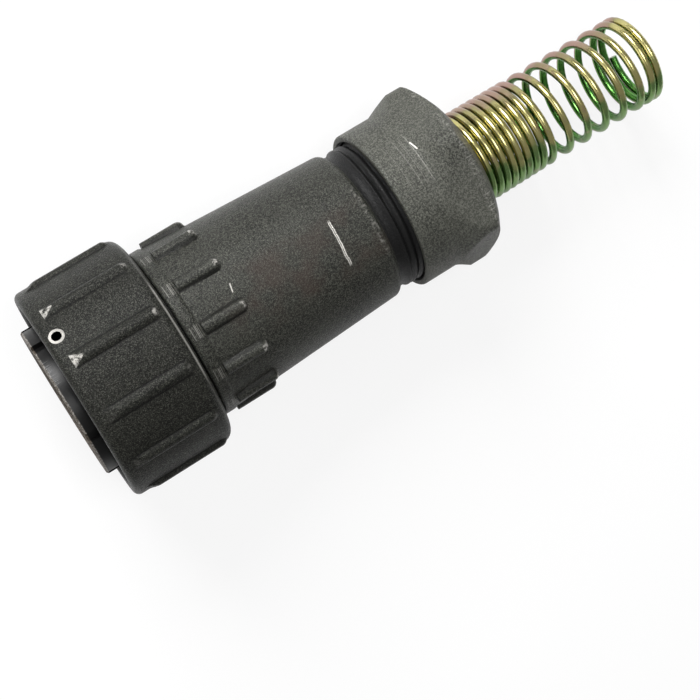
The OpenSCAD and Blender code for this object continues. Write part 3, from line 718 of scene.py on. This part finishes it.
# %% Shell, insulators and contacts
shell = Finish("black_shell", Specular_IOR_Level=0.2)
point, x, turn, radius = shell.where()
face = x.rise(0.42, 0.28)
drawn = shell.lines(turn, 0.35, 3.0)
glare = drawn.rise(0.56, 0.66) * turn.band(-47, -29, 2) * x.rise(1.6, 0.3) * 0.6
speck = shell.grain(point, 0.3, 3.0, 0.6)
end_grain = shell.mix(speck.rise(0.35, 0.7), grey(0.04, 0.2), grey(0.12, 0.16))
colour = shell.mix(face, grey(0.005), end_grain)
colour = shell.mix(glare * 0.7, colour, grey(0.4))
rim = (radius - 13.35).rise(0.0, 0.2) * x.rise(0.5, 0.1) * speck.rise(0.45, 0.6)
colour = shell.mix(rim * 0.6, colour, grey(0.35))
shell.paint(Base_Color=colour, Roughness=face * 0.14 + 0.3 + speck * 0.1,
            Normal=shell.bump(shell.lines(x, 0.25, 2.0) * 0.5 + speck * 0.5, 0.02, 0.7))

blue = Finish("blue_insert")
point = blue.where()[0]
split = blue.node("ShaderNodeSeparateXYZ", {}, {0: point})
streak = blue.node("ShaderNodeCombineXYZ", {}, {0: split * 60, 1: split.out("Y"),
                                                2: split.out("Z") * 0.12})
swirl = blue.grain(streak, 0.22, 3.0, 0.6)
colour = blue.mix(swirl.rise(0.3, 0.7), (0.007, 0.013, 0.045, 1), (0.014, 0.027, 0.10, 1))
blue.paint(Base_Color=colour, Roughness=swirl * 0.2 + 0.36, Normal=blue.bump(swirl, 0.03, 0.8))

gold = Finish("gold_plate", Metallic=1.0)
point = gold.where()[0]
fine = gold.grain(point, 0.35, 3.0)
colour = gold.mix(fine.rise(0.3, 0.8), (0.83, 0.56, 0.17, 1), (0.95, 0.74, 0.32, 1))
gold.paint(Base_Color=colour, Roughness=fine * 0.12 + 0.14, Normal=gold.bump(fine, 0.01, 0.5))
print("shell, insert and contacts have a finish")

# %% Rubber, steel, bronze and the clamp parts
rubber = Finish("black_rubber", Specular_IOR_Level=0.35)
point = rubber.where()[0]
pores = rubber.grain(point, 0.5, 4.0, 0.6)
rubber.paint(Base_Color=rubber.mix(pores, grey(0.010), grey(0.022)), Roughness=pores * 0.2 + 0.6,
             Normal=rubber.bump(pores, 0.03, 0.7))


def worked_metal(name, dark, light, rough, lines_along_x=True, shade=False):
    """Bare metal with fine lines from the tool; shade blackens the blind hole of a stud."""
    metal = Finish(name, Metallic=1.0)
    point, x, turn, radius = metal.where()
    lines = metal.lines(x if lines_along_x else turn, 0.12, 3.0)
    smudge = metal.grain(point, 2.0, 3.0)
    colour = metal.mix(smudge.rise(0.3, 0.7), dark, light)
    if shade:
        colour = metal.mix(radius.band(16.6, 19.1, 0.03), colour, grey(0.004))
    metal.paint(Base_Color=colour, Roughness=lines * 0.15 + smudge * 0.1 + rough,
                Normal=metal.bump(lines, 0.012, 0.7))
    return metal


stud = worked_metal("stud_steel_plain", (0.16, 0.155, 0.145, 1), (0.30, 0.29, 0.27, 1),
                    0.34, shade=True)
spring_steel = worked_metal("blue_spring_steel", (0.20, 0.20, 0.21, 1),
                            (0.36, 0.36, 0.37, 1), 0.28, lines_along_x=False)
bronze = worked_metal("sintered_bronze", (0.42, 0.24, 0.10, 1), (0.60, 0.38, 0.18, 1), 0.32)
clamp = worked_metal("nickel_brass", (0.50, 0.47, 0.40, 1), (0.68, 0.65, 0.58, 1), 0.24)
slots = {"shell_black": shell, "stud_steel": stud, "spring_steel": spring_steel,
         "thrust_bronze": bronze, "rubber_black": rubber, "insulator_blue": blue,
         "contact_gold": gold, "clamp_metal": clamp}
dress(front_insulator, blue)
slot_of = {part["node"]: part["material_slot"] for part in frame["record"]["subparts"]}
for name, part in nodes.items():
    if slot_of[name] in slots:
        for place in part.material_slots:
            place.material = slots[slot_of[name]].material
print("CAD nodes dressed:", sum(slot_of[name] in slots for name in nodes))

# %% [markdown]
# ## Table and light
# The plug rests on a rib of its ring and on a flat of its nut, so the table leans 5
# degrees against the axis. The table is white paper: its own colour does most of the
# work, and a little light of its own, for the camera alone, lifts it to white while a
# soft shadow stays.

# %% Table
DROP, RUN, TOUCH = 5.0, 57.6, (0.0185, 0, -0.02005)
table = bpy.data.meshes.new("table")
sheet = bmesh.new()
bmesh.ops.create_grid(sheet, x_segments=1, y_segments=1, size=3)
bmesh.ops.rotate(sheet, verts=sheet.verts, cent=(0, 0, 0),
                 matrix=Matrix.Rotation(-math.atan2(DROP, RUN), 3, "Y"))
bmesh.ops.translate(sheet, verts=sheet.verts, vec=TOUCH)
sheet.to_mesh(table)
sheet.free()
floor = bpy.data.objects.new("table", table)
bpy.context.collection.objects.link(floor)
paper = Finish("white_paper", Base_Color=(0.86, 0.86, 0.86, 1), Roughness=0.9)
seen = paper.node("ShaderNodeLightPath", {}, {})
glow = paper.node("ShaderNodeEmission", {}, {"Strength": 1.0})
surface = Signal(paper, paper.shader.outputs[0])
blend = paper.node("ShaderNodeMixShader", {}, {0: seen * 0.8, 1: surface, 2: glow})
paper.tree.links.new(blend.socket, paper.tree.nodes["Material Output"].inputs[0])
table.materials.append(paper.material)

# %% World and lamps
world = bpy.data.worlds.new("studio")
bpy.context.scene.world = world
world.use_nodes = True
AMBIENT, MIRRORED = 0.25, 0.15
tree = world.node_tree
sky = tree.nodes["Background"]
sky.inputs["Color"].default_value = (1, 1, 1, 1)
rays = tree.nodes.new("ShaderNodeLightPath")
glossy = tree.nodes.new("ShaderNodeMath")
glossy.operation = "MULTIPLY"
glossy.inputs[1].default_value = MIRRORED
shown = tree.nodes.new("ShaderNodeMath")
shown.operation = "MAXIMUM"
level = tree.nodes.new("ShaderNodeMapRange")
level.inputs["To Min"].default_value = AMBIENT
for source, target in (
        (rays.outputs["Is Glossy Ray"], glossy.inputs[0]),
        (rays.outputs["Is Camera Ray"], shown.inputs[0]),
        (glossy.outputs[0], shown.inputs[1]),
        (shown.outputs[0], level.inputs["Value"]),
        (level.outputs[0], sky.inputs["Strength"])):
    tree.links.new(source, target)


def lamp(name, place, size, watts):
    """A square lamp that faces the middle of the plug."""
    data = bpy.data.lights.new(name, "AREA")
    data.shape, data.size, data.energy = "SQUARE", size, watts
    light = bpy.data.objects.new(name, data)
    light.location = place
    light.rotation_euler = (Vector((0.05, 0, 0)) - Vector(place)).to_track_quat("-Z", "Y").to_euler()
    bpy.context.collection.objects.link(light)


lamp("key", (0.0, 0.46, 0.30), 0.24, 3.8)
lamp("overhead", (0.10, 0.10, 0.60), 0.22, 1.5)
lamp("front", (-0.45, 0.05, 0.25), 0.35, 0.8)

# %% [markdown]
# ## Finish
# The colours are shown with the Standard view transform.

# %% Set the view transform and end
bpy.context.scene.view_settings.view_transform = "Standard"
